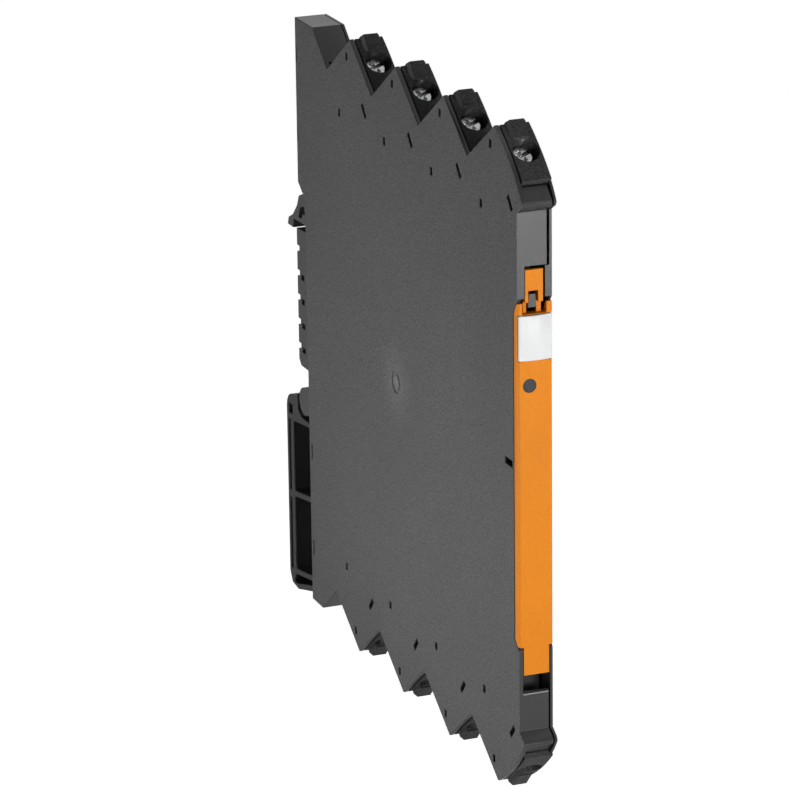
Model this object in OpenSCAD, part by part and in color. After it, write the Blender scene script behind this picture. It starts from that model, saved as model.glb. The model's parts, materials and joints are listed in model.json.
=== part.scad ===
// Slim signal isolator for a 35 mm mounting rail: a narrow plastic housing with a stepped row of
// screw terminals along its top and bottom edges, a hinged front flap and a sliding rail foot.
//
// Most shapes are drawn in works coordinates: X = w, across the width from the near side face,
// Y = d, depth behind the front plate, Z = h, height above the middle of the housing.
// place() moves them to the part's own frame: the origin is the middle of the rail's front face.

/* [Housing] */
// Width of the module along the rail
body_w = 6.1; // [5.8:0.1:7.5]
// Thickness of the near side wall
near_wall = 0.8; // [0.6:0.05:1]
// Thickness of the far cover
far_wall = 0.5; // [0.4:0.05:0.7]
// Thickness of the front, top and rear walls
edge_wall = 1; // [0.8:0.1:1.2]
// Height of the tooth peaks above the middle of the housing
peak_h = 55.85; // [52:0.5:62]
// Height of a tooth above the valley beside it
tooth_h = 7.7; // [7:0.1:8.4]
// Distance from one tooth to the next
pitch = 21.55; // [21:0.1:24]
// Run of the front slope of a tooth
tooth_front = 10; // [9.4:0.1:10.4]
// Depth of the first peak behind the front plate
first_peak = 9.1; // [8.8:0.1:10]
// How far the nose stands in front of the front plate
nose_out = 2; // [1:0.1:2.4]
// Depth of the rear block behind the last valley
rear_block = 16; // [14:0.5:20]
// Depth of the flat top of the rear block below the peaks
rear_drop = 1.85; // [1:0.05:4]
// Depth of the rear wall behind the last valley
back_wall = 12.5; // [12:0.1:14]

/* [Terminals] */
// Length of the slanted terminal face
face_len = 11.6; // [11:0.1:12]
// Depth of a terminal block below its peak
block_drop = 15.3; // [14.8:0.1:16]
// Gap between a terminal block and the walls beside it
block_gap = 0.2; // [0.1:0.05:0.3]
// Distance of the screw from the peak, along the face
screw_s = 5.75; // [5.6:0.05:5.9]
// Distance of the screw from the middle of the face, towards the near side
screw_off = 0.4; // [0.2:0.05:0.4]
// Shank diameter of the terminal screw
screw_d = 2.5; // [2:0.1:2.6]
// Wall between the screwdriver hole and the edges of the terminal face
hole_wall = 0.27; // [0.2:0.01:0.35]
// Thickness of the terminal face where it covers the far cover
face_t = 1.2; // [0.8:0.1:1.4]
// Bulge of the terminal face
face_bulge = 0.35; // [0.1:0.05:0.5]
// Gap between the screw head and the near side of its hole
head_gap = 0.105; // [0.055:0.05:0.155]
// Head height of the terminal screw
head_h = 1.3; // [1:0.1:1.5]
// Depth of the screw head below the terminal face
head_recess = 1.1; // [0.9:0.1:1.6]
// Wall between the clamping yoke and the near side of the block
yoke_wall = 0.35; // [0.3:0.05:0.45]
// Length of the clamping yoke along the wire
yoke_len = 4; // [3.4:0.1:4.2]
// Clear height inside the yoke
yoke_gap = 3.4; // [3:0.1:3.5]
// Travel of the yoke when its screw is tightened
yoke_travel = 1.2; // [0.8:0.1:1.3]
// Thickness of the current bar
bar_t = 0.6; // [0.5:0.05:0.8]
// Diameter of the wire entry
wire_d = 2.4; // [2:0.1:2.6]

/* [Front flap] */
// Height of the flap's upper shoulders above the middle
flap_top = 28.8; // [26:0.2:30]
// Depth of the flap's lower shoulders below the middle
flap_drop = 29.3; // [27:0.2:31]
// Thickness of the flap
flap_t = 1.5; // [1.2:0.1:1.8]
// Length of the latch tongue above the shoulders
tongue_up = 5.5; // [5:0.1:6]
// Length of the hinge tongue below the shoulders
tongue_down = 4.9; // [4.4:0.1:5.2]
// Radius of the flap's hinge pins
hinge_r = 0.7; // [0.5:0.05:0.8]
// Height of the marker tag
tag_h = 7.7; // [6:0.1:8]
// Diameter of the indicator lens
lens_d = 2.35; // [1.8:0.05:2.6]

/* [Rail foot] */
// Depth of the rail seat behind the rear wall
seat_out = 7; // [6.6:0.1:7.4]
// Thickness of the rail's flange
rail_t = 1; // [1:0.1:1.3]
// Height of the rail
rail_h = 35; // [34.8:0.1:35.2]
// Height of the rail's middle above the middle of the housing
rail_mid = -2.1; // [-2.6:0.1:-1.6]
// How far the foot reaches behind the rail seat
foot_out = 7.2; // [6.6:0.1:7.5]
// Length of the foot below the rail
foot_len = 36; // [34:0.5:38]
// Travel of the foot when it is pulled down
foot_travel = 3.5; // [3:0.1:4]

/* [Electronics] */
// Thickness of the circuit board
board_t = 0.8; // [0.6:0.1:1]
// Gap between the board and the far cover
board_gap = 0.8; // [0.6:0.1:1]
// Gap between the transformer and the near wall
core_gap = 0.5; // [0.2:0.1:0.8]
// Height of the chips above the board
chip_h = 1.3; // [0.8:0.1:2]
// Diameter of the capacitors
cap_d = 4; // [3:0.1:5]
// Gap between the capacitors and the near wall
cap_gap = 0.6; // [0.2:0.1:0.8]
// Gap between the setting switch and the near wall
switch_gap = 0.5; // [0.3:0.1:0.8]
// Distance between two switch sliders
way_pitch = 2.54; // [2.2:0.02:2.6]

/* [Hidden] */
$fn = 48;
teeth = 4;
terminals = 2 * teeth;
switch_ways = 4;
bus_poles = 5;
eps = 0.05;
// Radial play of a pin or shank that turns in its hole
run_gap = 0.05;
// Play of pieces that slide on each other
slide_gap = 0.1;
// Play of the clamping yoke in its cavity
yoke_play = 0.15;

// Widths, measured from the near side face
inner_w = body_w - far_wall;
block_w0 = near_wall + block_gap;
block_w1 = inner_w - block_gap / 2;
cover_seam = 0.2;
rear_w1 = inner_w - cover_seam;
face_w1 = body_w - 0.05;
hole_w = (block_w0 + face_w1) / 2;
hole_d = face_w1 - block_w0 - 2 * hole_wall;
head_d = hole_d - 2 * (screw_off + head_gap);
screw_w = hole_w - screw_off;
yoke_w = 2 * (screw_w - block_w0 - yoke_wall - yoke_play);
board_w = inner_w - board_gap - board_t;

// Outline of the teeth, measured behind the front plate
slope = atan2(tooth_h, tooth_front);
valley_h = peak_h - tooth_h;
rear_flat_h = peak_h - rear_drop;
function peak_d(i) = first_peak + i * pitch;
function valley_d(i) = peak_d(i) + pitch - tooth_front;
last_valley = valley_d(teeth - 1);
rear_d = last_valley + rear_block;
rear_flat_d = last_valley + 7.1;
back_d = last_valley + back_wall;
seat_d = back_d + seat_out;
foot_d = seat_d + foot_out;

// Nose and front plates
nose_h = valley_h - 2.75;
plate_h = valley_h - 4.35;
step_d = flap_t + 0.2;
step_gap = 0.4;
upper_leg_h = flap_top + 0.8;
lower_leg_h = -flap_drop - 0.5;
plate_end_h = flap_top + tongue_up + 0.6;
recess_h = -flap_drop - 8.3;
plate_w1 = body_w - 0.95;
leg_w = 1.33;
far_leg_w = body_w - 1.25;

// Flap hinge and latch
hinge_d = 1.3;
hinge_h = -flap_drop - 3.3;
tongue_w0 = 1.44;
tongue_w1 = 4.5;
low_tongue_w0 = near_wall + block_gap;
low_tongue_w1 = inner_w - 0.15;
latch_w = 2.78;
latch_h = flap_top + 1.4;
band_h = 1.8;
link_d = 0.9;
link_lap = 1;
tag_top = flap_top - band_h - 0.1;
tag_seat = 0.8;
lens_w = 2.15;
lens_drop = 13.7;
lens_h = flap_top - lens_drop;

// Terminal levels along the screw, measured from the face, inwards negative
seat_z = -head_recess - head_h;
ceiling_z = seat_z - 0.8;
yoke_top_t = 1;
yoke_side = 0.5;
yoke_floor = 0.6;
tip_out = 0.2;
yoke_z = ceiling_z - yoke_travel - slide_gap;
yoke_under_z = yoke_z - yoke_top_t;
bar_z = yoke_under_z - tip_out;
yoke_inner_z = yoke_under_z - yoke_gap;
cavity_z = yoke_inner_z - yoke_floor - 0.4;
wire_z = (bar_z - bar_t + yoke_inner_z) / 2;
bar_w = yoke_w - 2 * yoke_side - 0.4;
bar_ahead = 3.3;
bar_behind = 2.9;
bar_front = screw_s + bar_ahead;
bar_rear = screw_s - bar_behind;
// Pin of the current bar, measured from the peak: on the bar's front end
pin_d = -bar_front * cos(slope) - (bar_z - bar_t / 2) * sin(slope) + 0.3;
pin_h = -bar_front * sin(slope) + (bar_z - bar_t / 2) * cos(slope) + 0.4;
pin_t = 0.6;
pin_len = 0.8;
board_clear = 2.5;
pin_lap = 2;
pin_low = -block_drop - board_clear - pin_lap;

// Rail hooks
rail_top = rail_mid + rail_h / 2;
rail_low = rail_mid - rail_h / 2;
hook_d = seat_d + rail_t + 0.4;
catch_d = seat_d + rail_t + 0.4;
comb_top = rail_top - 0.8;
comb_len = 25.6;
comb_low = comb_top - comb_len;
comb_d = seat_d - 0.4;
pole_pitch = 4.57;
comb_notch = 1.2;
stop_r = 2.6;
stop_d = seat_d - stop_r;
stop_h = rail_low + 2;
foot_w0 = near_wall + slide_gap / 2;
foot_w1 = rear_w1;
foot_low = rail_low - foot_len;
foot_web = 1;

// Guide of the rail foot in the rear wall
guide_mid = foot_w0 + (foot_w1 - foot_w0) / 2;
neck_w = 1.2;
head_w = 2.8;
guide_top = rail_low - 6;
guide_len = 20;

// Circuit board
board_front = 6;
board_rear = back_d - 3.8;
board_h = peak_h - block_drop - board_clear;
post_d = [14, board_rear - 8];
post_h = board_h - 8;
board_len = board_rear - board_front;
core_h = board_w - near_wall - core_gap;
core_size = [10, 9];
core_limb = [1.5, 2];
cap_h = board_w - near_wall - cap_gap;
chip_size = [6, 5];
main_chip_size = [7, 7];
small_chip_size = [5, 4];

switch_h = -14;
switch_front = 3.4;
switch_depth = 5;
switch_w0 = near_wall + switch_gap;
switch_w = board_w - switch_w0;
knob = switch_w * 0.35;
knob_out = 0.8;
knob_in = 1.9;
slider_travel = switch_w / 3;
knob_slot = knob + slider_travel + 2 * slide_gap;
knob_w = switch_w0 + switch_w * 0.12;

// Moves works coordinates to the part's own frame.
module place() {
    translate([-body_w / 2, -seat_d, -rail_mid]) children();
}

// Carries a drawing in the (d, h) plane across the width, from w0 to w1.
module slab(w0, w1) {
    translate([w0, 0, 0]) rotate([90, 0, 90]) linear_extrude(height = w1 - w0) children();
}

// The upper shape and its mirror image below.
module both_ends() {
    children();
    mirror([0, 0, 1]) children();
}

// Puts a terminal piece on its tooth: 1 to 4 along the top from the front, then along the bottom.
module at_tooth(k) {
    i = (k - 1) % teeth;
    if (k <= teeth) {
        translate([0, peak_d(i), peak_h]) children();
    } else {
        mirror([0, 0, 1]) translate([0, peak_d(i), peak_h]) children();
    }
}

// Turns a piece to the terminal face: Y runs up the face to the peak, Z out of the face.
module on_face() {
    rotate([slope, 0, 0]) children();
}

// A strip of thickness t to the left of a line of points, with mitred corners.
function unit(v) = v / norm(v);
function left(v) = [-v[1], v[0]];
function along(p, i) = unit(p[min(i + 1, len(p) - 1)] - p[min(i, len(p) - 2)]);
function before(p, i) = unit(p[max(i, 1)] - p[max(i - 1, 0)]);
function mitre(p, i, t) =
    let (a = left(before(p, i)), n = unit(a + left(along(p, i))))
    p[i] + n * t / (n * a);
function strip(p, t) = concat(p, [for (i = [len(p) - 1:-1:0]) mitre(p, i, t)]);

// A smooth curve from a to c, drawn towards b.
function bend(a, b, c, n) =
    [for (j = [0:n]) let (s = j / n) a * (1 - s) * (1 - s) + b * 2 * s * (1 - s) + c * s * s];

// Outlines

// The nose and first slope: from the front plate up to the first peak.
function nose_line() = concat(
    [[0, plate_h], [-nose_out + 0.4, nose_h - 0.6], [-nose_out, nose_h]],
    bend([-nose_out + 0.2, nose_h + 0.5], [first_peak * 0.22, valley_h + 0.46 * tooth_h],
         [first_peak, peak_h], 8)
);
// The teeth behind the first peak and the rear block.
function tooth_line() = concat(
    [for (i = [0:teeth - 1], top = [0, 1])
        top == 0 ? [valley_d(i), valley_h]
                 : i < teeth - 1 ? [peak_d(i + 1), peak_h] : [rear_flat_d, rear_flat_h]],
    [[rear_d, rear_flat_h]]
);
function upside_down(p) = [for (i = [len(p) - 1:-1:0]) [p[i][0], -p[i][1]]];
upper_line = concat(nose_line(), tooth_line());
// The bulged terminal face, from its lower end up to the peak, measured from the peak.
function face_line() =
    let (low = [-face_len * cos(slope), -face_len * sin(slope)],
         out = [-sin(slope), cos(slope)] * 2 * face_bulge)
    bend(low, low / 2 + out, [0, 0], 8);
// A band along the terminal face, from a height over it to a depth under it.
function face_band(over, under, face) =
    let (out = [-sin(slope), cos(slope)])
    concat([for (p = face) p + out * over],
           [for (i = [len(face) - 1:-1:0]) face[i] - out * under]);

// The side of the housing: teeth above and below, the front edge set back behind the flap.
module side_outline() {
    lower = concat(nose_line(), [for (p = tooth_line()) [min(p[0], back_d), p[1]]]);
    polygon(concat(
        upper_line,
        [[rear_d, rail_top + 8.6], [rear_d - 2.2, rail_top + 7], [back_d, rail_top + 7]],
        upside_down(lower),
        [[0, lower_leg_h], [step_d, lower_leg_h + step_d],
         [step_d, flap_top - 1.6], [0, upper_leg_h]]
    ));
}

// Small openings in the near wall, where the terminal blocks snap in.
module latch_windows() {
    window = [1, 1.3];
    slant = [2.7, 0.95];
    slant_d = 6.25;
    slant_h = 11.1;
    for (i = [0:teeth - 1]) {
        translate([peak_d(i), peak_h]) {
            translate([1.2, -4]) square(window);
            translate([5.3, -block_drop + 0.5]) square(window);
            translate([-slant_d, -slant_h]) rotate(50) square(slant, center = true);
        }
    }
}

// Slots along the edges of the near wall.
module edge_slots() {
    slot_t = 0.55;
    slot_len = 2.8;
    first_drop = 8;
    second_drop = 22.5;
    translate([2.2, 0.9]) square([3.1, 1.1]);
    for (drop = [first_drop, second_drop]) {
        translate([rear_d - slot_t - 0.2, rear_flat_h - drop]) square([slot_t, slot_len]);
    }
    for (h = [rail_low - 0.2 * foot_len, rail_low - 0.71 * foot_len]) {
        translate([back_d - slot_t - 0.9, h]) square([slot_t, slot_len]);
    }
}

// Housing

module near_side() {
    gate_r = 2;
    difference() {
        slab(0, near_wall) difference() {
            side_outline();
            latch_windows();
            mirror([0, 1]) latch_windows();
            edge_slots();
        }
        // Ring of the moulding gate
        translate([-eps, 0.54 * rear_d - 1, 0.3]) rotate([0, 90, 0]) difference() {
            cylinder(r = gate_r, h = 0.12 + eps);
            translate([0, 0, -eps]) cylinder(r = gate_r - 0.7, h = 1);
        }
        // Blind bearing of the flap's hinge pin
        translate([near_wall - 0.4, hinge_d, hinge_h]) rotate([0, 90, 0])
            cylinder(r = hinge_r + run_gap, h = 1);
    }
}

// Nose below the first terminal, carried across the width.
module nose_wall() {
    lip = valley_h - 0.4;
    polygon([[0.35, lip], [-nose_out + 0.2, nose_h + 0.5], [-nose_out, nose_h],
             [-nose_out + 0.4, nose_h - 0.6], [0, plate_h], [edge_wall, plate_h], [edge_wall, lip]]);
}

module front_walls() {
    // Upper plate with its near leg beside the latch tongue
    slab(0, plate_w1) translate([0, plate_end_h]) square([edge_wall, plate_h - plate_end_h]);
    slab(0, leg_w) translate([0, upper_leg_h]) square([edge_wall, plate_end_h - upper_leg_h]);
    // Lower block under the hinge recess
    slab(0, plate_w1 + 0.15) translate([0, -plate_h]) square([edge_wall, plate_h + recess_h]);
    slab(0, plate_w1 + 0.15) translate([edge_wall / 2, recess_h]) circle(d = edge_wall);
    // Wall behind the hinge recess
    recess_low = block_drop - peak_h + block_gap;
    slab(near_wall - eps, inner_w - block_gap) translate([hinge_d + 2.9, recess_low])
        square([edge_wall, hinge_h + 5 - recess_low]);
    both_ends() slab(near_wall - eps, plate_w1 + 0.15) nose_wall();
}

// Catch post that reaches through the flap, on an arm from the near wall.
module latch_post() {
    arm_d = step_d + 0.5;
    translate([0, 0, latch_h - 1.2]) {
        translate([near_wall - eps, arm_d, -1]) cube([latch_w + 0.55 - near_wall + eps, 1.6, 2]);
        translate([latch_w, arm_d + eps, 0]) rotate([90, 0, 0]) linear_extrude(height = arm_d - 0.2)
            polygon([[-0.75, -1], [0.7, -1], [0.5, 1.2], [-0.55, 1.2]]);
    }
}

module rear_walls() {
    upper = [[last_valley + 1.1, valley_h + 0.9], [rear_flat_d, rear_flat_h],
             [rear_d, rear_flat_h], [rear_d, rail_top + 8.6], [rear_d - 2.2, rail_top + 7],
             [back_d - eps, rail_top + 7]];
    lower = [[last_valley + 1.1, -valley_h - 0.9], [rear_flat_d, -rear_flat_h],
             [back_d, -rear_flat_h], [back_d, rail_top + 7 + eps]];
    slab(near_wall - eps, rear_w1) polygon(strip(upper, -edge_wall));
    difference() {
        slab(near_wall - eps, rear_w1) polygon(strip(lower, edge_wall));
        // Slot for the neck of the rail foot
        translate([guide_mid - neck_w / 2 - slide_gap, back_d - 2 * edge_wall,
                   guide_top - guide_len - foot_travel - slide_gap])
            cube([neck_w + 2 * slide_gap, 3 * edge_wall, guide_len + foot_travel + 2 * slide_gap]);
        // Openings for the bus contacts
        for (p = [1:bus_poles]) {
            pole_slot(p);
        }
    }
}

// Fixed hook over the rail's upper edge.
module upper_hook() {
    tip_h = rail_top - 1.2;
    roof_h = rail_top + 0.5;
    difference() {
        slab(near_wall - eps, rear_w1) polygon([
            [back_d - eps, rail_top + 7.2], [back_d + 1.4, rail_top + 7],
            [seat_d - 1.8, rail_top + 5.5], [seat_d - 0.7, rail_top + 3.4],
            [hook_d + 0.2, rail_top + 1.2], [hook_d + 2.4, rail_top + 0.2],
            [hook_d + 2.9, tip_h], [hook_d, tip_h], [hook_d, roof_h], [back_d - eps, roof_h + 0.4]]);
        // Moulded pocket with a rounded rib left in it
        slab(near_wall - 2 * eps, near_wall + 2.6) difference() {
            polygon([[back_d + 1.5, roof_h + 1], [back_d + 2.6, roof_h + 3.6],
                     [back_d + 4.6, roof_h + 3], [back_d + 5.6, roof_h + 1]]);
            translate([back_d + 2.4, roof_h + 0.6]) circle(r = 1.6);
        }
    }
}

// Height of bus contact p, counted from the top.
function pole_h(p) = comb_top - 6 - (p - 1) * pole_pitch;

module pole_slot(p) {
    translate([board_w - 1.6, back_d - 1.6, pole_h(p) - 0.8]) cube([1.8, seat_out + 2, 1.6]);
}

// Block that carries the bus contacts, notched between the poles.
module bus_comb() {
    difference() {
        slab(near_wall - eps, rear_w1) difference() {
            polygon([[back_d - eps, comb_top + 0.4], [comb_d, comb_top], [comb_d, comb_low + 1],
                     [comb_d - 1, comb_low], [back_d - eps, comb_low]]);
            for (p = [1:bus_poles]) {
                translate([comb_d - comb_notch, pole_h(p) + pole_pitch / 2 - comb_notch / 2])
                    square([comb_notch + 1, comb_notch]);
            }
        }
        for (p = [1:bus_poles]) {
            pole_slot(p);
        }
        // Openings beside the lower notches
        slab(near_wall - 2 * eps, near_wall + 0.7) for (p = [2:bus_poles]) {
            translate([comb_d - 3.5, pole_h(p) + pole_pitch / 2 - 0.9]) square([1.7, 1]);
        }
    }
}

// Rounded stop that the lower edge of the rail lies against.
module lower_stop() {
    slab(near_wall - eps, rear_w1) {
        translate([stop_d, stop_h]) circle(r = stop_r);
        polygon([[back_d - eps, stop_h + stop_r + 1.4], [stop_d + 0.6, stop_h + stop_r - 0.1],
                 [stop_d, stop_h - stop_r], [back_d - eps, stop_h - stop_r + 1]]);
    }
}

// Posts that hold the circuit board.
module board_posts() {
    for (d = post_d, h = [-post_h, post_h]) {
        translate([near_wall - eps, d, h]) rotate([0, 90, 0])
            cylinder(d = 3, h = board_w - near_wall + eps);
    }
}

module housing() {
    color([0.27, 0.27, 0.28]) place() {
        near_side();
        front_walls();
        latch_post();
        rear_walls();
        upper_hook();
        bus_comb();
        lower_stop();
        board_posts();
    }
}

// Where the terminal faces lie over the edge of the far cover.
module cover_cuts() {
    way = [cos(slope), sin(slope)];
    face = face_line();
    past_peak = 0.4;
    past_foot = 1.3;
    longer = concat(face, [way * past_peak]);
    for (i = [0:teeth - 1]) {
        line = i == 0 ? longer : concat([face[0] - way * past_foot], longer);
        translate([peak_d(i), peak_h]) polygon(face_band(1, face_t + slide_gap, line));
    }
}

module far_cover() {
    color([0.25, 0.25, 0.26]) place() difference() {
        union() {
            slab(inner_w, body_w) difference() {
                side_outline();
                cover_cuts();
                mirror([0, 1]) cover_cuts();
            }
            // Leg beside the latch tongue
            slab(far_leg_w, inner_w + eps) translate([0, upper_leg_h])
                square([edge_wall, plate_end_h - upper_leg_h - 0.15]);
            // Pads against the board
            for (d = post_d, h = [-post_h, post_h]) {
                translate([inner_w - board_gap, d, h]) rotate([0, 90, 0])
                    cylinder(d = 3, h = board_gap + eps);
            }
        }
        translate([inner_w - eps, hinge_d, hinge_h]) rotate([0, 90, 0])
            cylinder(r = hinge_r + run_gap, h = 0.3 + eps);
    }
}

// Front flap

// Side view of the flap: its ends are cut to clear the stepped edge of the housing.
module flap_side() {
    cut = flap_t - step_gap;
    polygon([[0, flap_top], [step_gap, flap_top], [flap_t, flap_top - cut - 0.5],
             [flap_t, -flap_drop + cut + 0.1], [step_gap, -flap_drop], [0, -flap_drop]]);
}

module latch_tongue() {
    difference() {
        union() {
            slab(tongue_w0, tongue_w1) translate([0, flap_top + 0.1])
                square([flap_t / 2, tongue_up - 0.1]);
            // Legs behind the recess, down to the rear half of the flap
            slab(tongue_w0, tongue_w1) translate([link_d, flap_top - band_h - link_lap])
                square([flap_t - link_d, band_h + link_lap + 2]);
            slab(tongue_w0, tongue_w1) translate([eps, flap_top + 1])
                square([flap_t - eps, 1]);
        }
        translate([latch_w - 0.8, -1, latch_h - 4]) cube([1.7, 4, 4.6]);
    }
}

module hinge_tongue() {
    tongue_t = 2.1;
    relief = 3;
    slab(low_tongue_w0, low_tongue_w1) difference() {
        translate([0.1, -flap_drop - tongue_down]) square([tongue_t, tongue_down + 1]);
        translate([flap_t, -flap_drop - 1.2]) square([tongue_t, relief]);
    }
    pin_w0 = near_wall - 0.35;
    translate([pin_w0, hinge_d, hinge_h]) rotate([0, 90, 0])
        cylinder(r = hinge_r, h = inner_w + 0.25 - pin_w0);
}

module front_flap() {
    edge = 0.4;
    ahead = 1;
    through = 4;
    near_rim = 0.95;
    far_rim = 1;
    color([0.9, 0.55, 0.16]) place() {
        difference() {
            slab(0.05, body_w - 0.05) flap_side();
            // Chamfer of the near front edge
            translate([0.05, 0, 0]) linear_extrude(height = 3 * flap_top, center = true)
                polygon([[-1, -1], [edge, -1], [edge, 0], [0, 1.6 * edge], [-1, 1.6 * edge]]);
            // Opening across the top, behind which the legs of the latch tongue start
            translate([near_rim, -ahead, flap_top - band_h])
                cube([body_w - near_rim - far_rim, through, through]);
            // Seat of the marker tag
            translate([0.25, -ahead, tag_top - tag_h]) cube([body_w, ahead + tag_seat, tag_h]);
            translate([lens_w, -ahead, lens_h]) rotate([-90, 0, 0]) cylinder(d = lens_d, h = through);
        }
        latch_tongue();
        hinge_tongue();
    }
}

// Marker tag with a gently crowned front.
module marker_tag() {
    tag_w0 = 0.3;
    tag_w1 = body_w - 0.1;
    crown = 0.35;
    half = (tag_w1 - tag_w0) / 2;
    radius = (half * half + crown * crown) / (2 * crown);
    color([0.95, 0.95, 0.95]) place()
        translate([tag_w0 + half, 0, tag_top - tag_h + slide_gap])
        linear_extrude(height = tag_h - 2 * slide_gap) intersection() {
            translate([0, radius - crown - 0.1]) circle(r = radius, $fn = 180);
            translate([-half, -1]) square([2 * half, 1 + tag_seat]);
        }
}

module indicator_lens() {
    color([0.29, 0.31, 0.31]) place() translate([lens_w, 0.05, lens_h]) rotate([-90, 0, 0]) {
        cylinder(d = lens_d, h = flap_t - 0.05);
        translate([0, 0, flap_t - 0.05]) cylinder(d = lens_d + 0.2, h = 0.5);
    }
}

module indicator_led() {
    color([0.85, 0.9, 0.8]) place() translate([board_w - 1, board_front + 0.2, lens_h - 0.8])
        cube([1, 1.4, 1.6]);
}

// Rail foot

module foot_outline() {
    corner = 3;
    corner_h = stop_h - corner - 0.6;
    difference() {
        union() {
            intersection() {
                translate([foot_d - corner, corner_h]) circle(r = corner);
                translate([catch_d, corner_h - 2 * corner]) square(4 * corner);
            }
            polygon([[catch_d, stop_h + 0.3], [foot_d - corner - 0.4, corner_h + corner],
                     [foot_d, corner_h], [foot_d, foot_low + 2.4], [foot_d - 1.2, foot_low + 0.4],
                     [foot_d - 4.4, foot_low], [back_d + 0.3, foot_low + 2.6],
                     [back_d + 0.3, stop_h - stop_r - 1], [stop_d + 2, stop_h - stop_r - 1],
                     [catch_d, stop_h - stop_r]]);
        }
        translate([stop_d, stop_h]) circle(r = stop_r + 0.4);
    }
}

// Pockets of the foot: narrow ones along its rear edge, wide ones between slanted ribs.
module foot_pockets() {
    rise = 1.6;
    sag = 0.6;
    rim = 0.7;
    rib = 1;
    slot = 1.2;
    notch = 1.9;
    heel = 3.4;
    front = back_d + 1.5;
    slot_d = foot_d - rim - slot;
    middle = slot_d - 1.4 * rib;
    top = stop_h - stop_r - 2.3;
    cell = (top - foot_low) * 0.46;
    corner = 0.8;
    for (n = [1, 2]) {
        low = top - n * cell;
        offset(r = corner) offset(delta = -corner)
            polygon([[front, low + rib + rise], [middle, low + rib], [middle, low + cell - (2 - n) * sag],
                     [front, low + cell + (n == 1 ? sag : rise)]]);
        translate([slot_d, low + 0.6 * rib]) square([slot, cell - 1.4 * rib]);
    }
    translate([slot_d - slot, top + 0.4]) square([1.75 * slot, notch]);
    polygon([[front, top - 2 * cell + rise], [middle, top - 2 * cell], [middle + rib, foot_low + 1],
             [middle, foot_low + rim], [front, foot_low + heel]]);
}

module rail_foot() {
    color([0.3, 0.3, 0.31]) place() {
        difference() {
            slab(foot_w0, foot_w1) foot_outline();
            slab(foot_w0 - eps, foot_w1 - foot_web) foot_pockets();
        }
        // Neck and head that run in the slot of the rear wall
        translate([0, 0, guide_top - guide_len]) {
            translate([guide_mid - neck_w / 2, back_d - edge_wall - 0.6, 0])
                cube([neck_w, edge_wall + 1, guide_len]);
            translate([guide_mid - head_w / 2, back_d - edge_wall - slide_gap - 0.9, 0])
                cube([head_w, 0.9, guide_len]);
        }
    }
}

// Terminals, drawn from the peak of their tooth

module block_outline() {
    lip = 0.9;
    inset = 0.15;
    run = tooth_h / (pitch - tooth_front);
    face = face_line();
    rear = pitch + face[0][0] - 0.25;
    foot = face[0] + [1.7, 0];
    polygon(concat(
        [for (i = [len(face) - 1:-1:0]) face[i]],
        [face[0] + [lip * sin(slope), -lip * cos(slope)], [foot[0], -tooth_h - 0.7],
         [foot[0], -block_drop + 3.5], [foot[0] + 2.9, -block_drop], [rear - 2, -block_drop],
         [rear, -block_drop + 2.3], [rear, -rear * run - inset], [inset, -run * inset - inset]]));
}

module terminal_block() {
    cavity_len = yoke_len + 0.6;
    entry_len = 4;
    entry_reach = 14;
    lug_w = 3.5;
    lug_top = 2.45;
    lug_len = 3.3;
    lug_h = 0.75;
    lug_tilt = 9;
    peg = [0.6, 0.7];
    difference() {
        union() {
            slab(block_w0, block_w1) block_outline();
            slab(block_w1 - eps, face_w1) polygon(face_band(0, face_t, face_line()));
            // Raised lug with slanted sides, higher towards the peak
            on_face() translate([hole_w, -lug_len, 0]) rotate([lug_tilt, 0, 0])
                translate([0, lug_len, 0]) rotate([90, 0, 0]) linear_extrude(height = lug_len)
                polygon([[-lug_w / 2, -face_t], [-lug_w / 2, 0], [-lug_top / 2, lug_h],
                         [lug_top / 2, lug_h], [lug_w / 2, 0], [lug_w / 2, -face_t]]);
            // Snap pegs in the windows of the near wall
            for (at = [[1.35, -3.9], [5.45, -block_drop + 0.6]]) {
                translate([near_wall / 2, at[0], at[1]]) cube([block_w0, peg[0], peg[1]]);
            }
        }
        on_face() {
            translate([hole_w, -screw_s, seat_z]) cylinder(d = hole_d, h = 6);
            translate([screw_w, -screw_s, ceiling_z - eps]) cylinder(d = screw_d + 0.3, h = 2);
            translate([screw_w - yoke_w / 2 - yoke_play, -screw_s - cavity_len / 2, cavity_z])
                cube([body_w, cavity_len, ceiling_z - cavity_z]);
            // Wire entry with its funnel
            translate([screw_w, -screw_s, wire_z]) rotate([-90, 0, 0]) {
                cylinder(d = wire_d, h = entry_reach);
                translate([0, 0, cavity_len / 2 + entry_len])
                    cylinder(d1 = wire_d, d2 = wire_d + 2, h = 3);
            }
            // Slot for the current bar
            translate([screw_w - bar_w / 2 - slide_gap, -bar_front - slide_gap, bar_z - bar_t - eps])
                cube([body_w, bar_front - bar_rear + 2 * slide_gap, bar_t + 2 * eps]);
        }
        translate([board_w - pin_t - slide_gap, pin_d - pin_len / 2 - slide_gap, -block_drop - 1])
            cube([body_w, pin_len + 2 * slide_gap, block_drop + 1 + pin_h + slide_gap]);
    }
}

// Combination head: a slot right across and a cross in the middle.
module terminal_screw() {
    drive = 0.6;
    color([0.78, 0.79, 0.8]) on_face() translate([screw_w, -screw_s, 0]) {
        difference() {
            translate([0, 0, seat_z]) cylinder(d = head_d, h = head_h);
            rotate(25) translate([0, 0, seat_z + head_h]) {
                cube([head_d + 1, 0.65, 2 * drive], center = true);
                cube([0.75, head_d * 0.66, 2 * drive], center = true);
            }
        }
        translate([0, 0, bar_z + eps]) cylinder(d = screw_d, h = seat_z - bar_z);
    }
}

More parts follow.
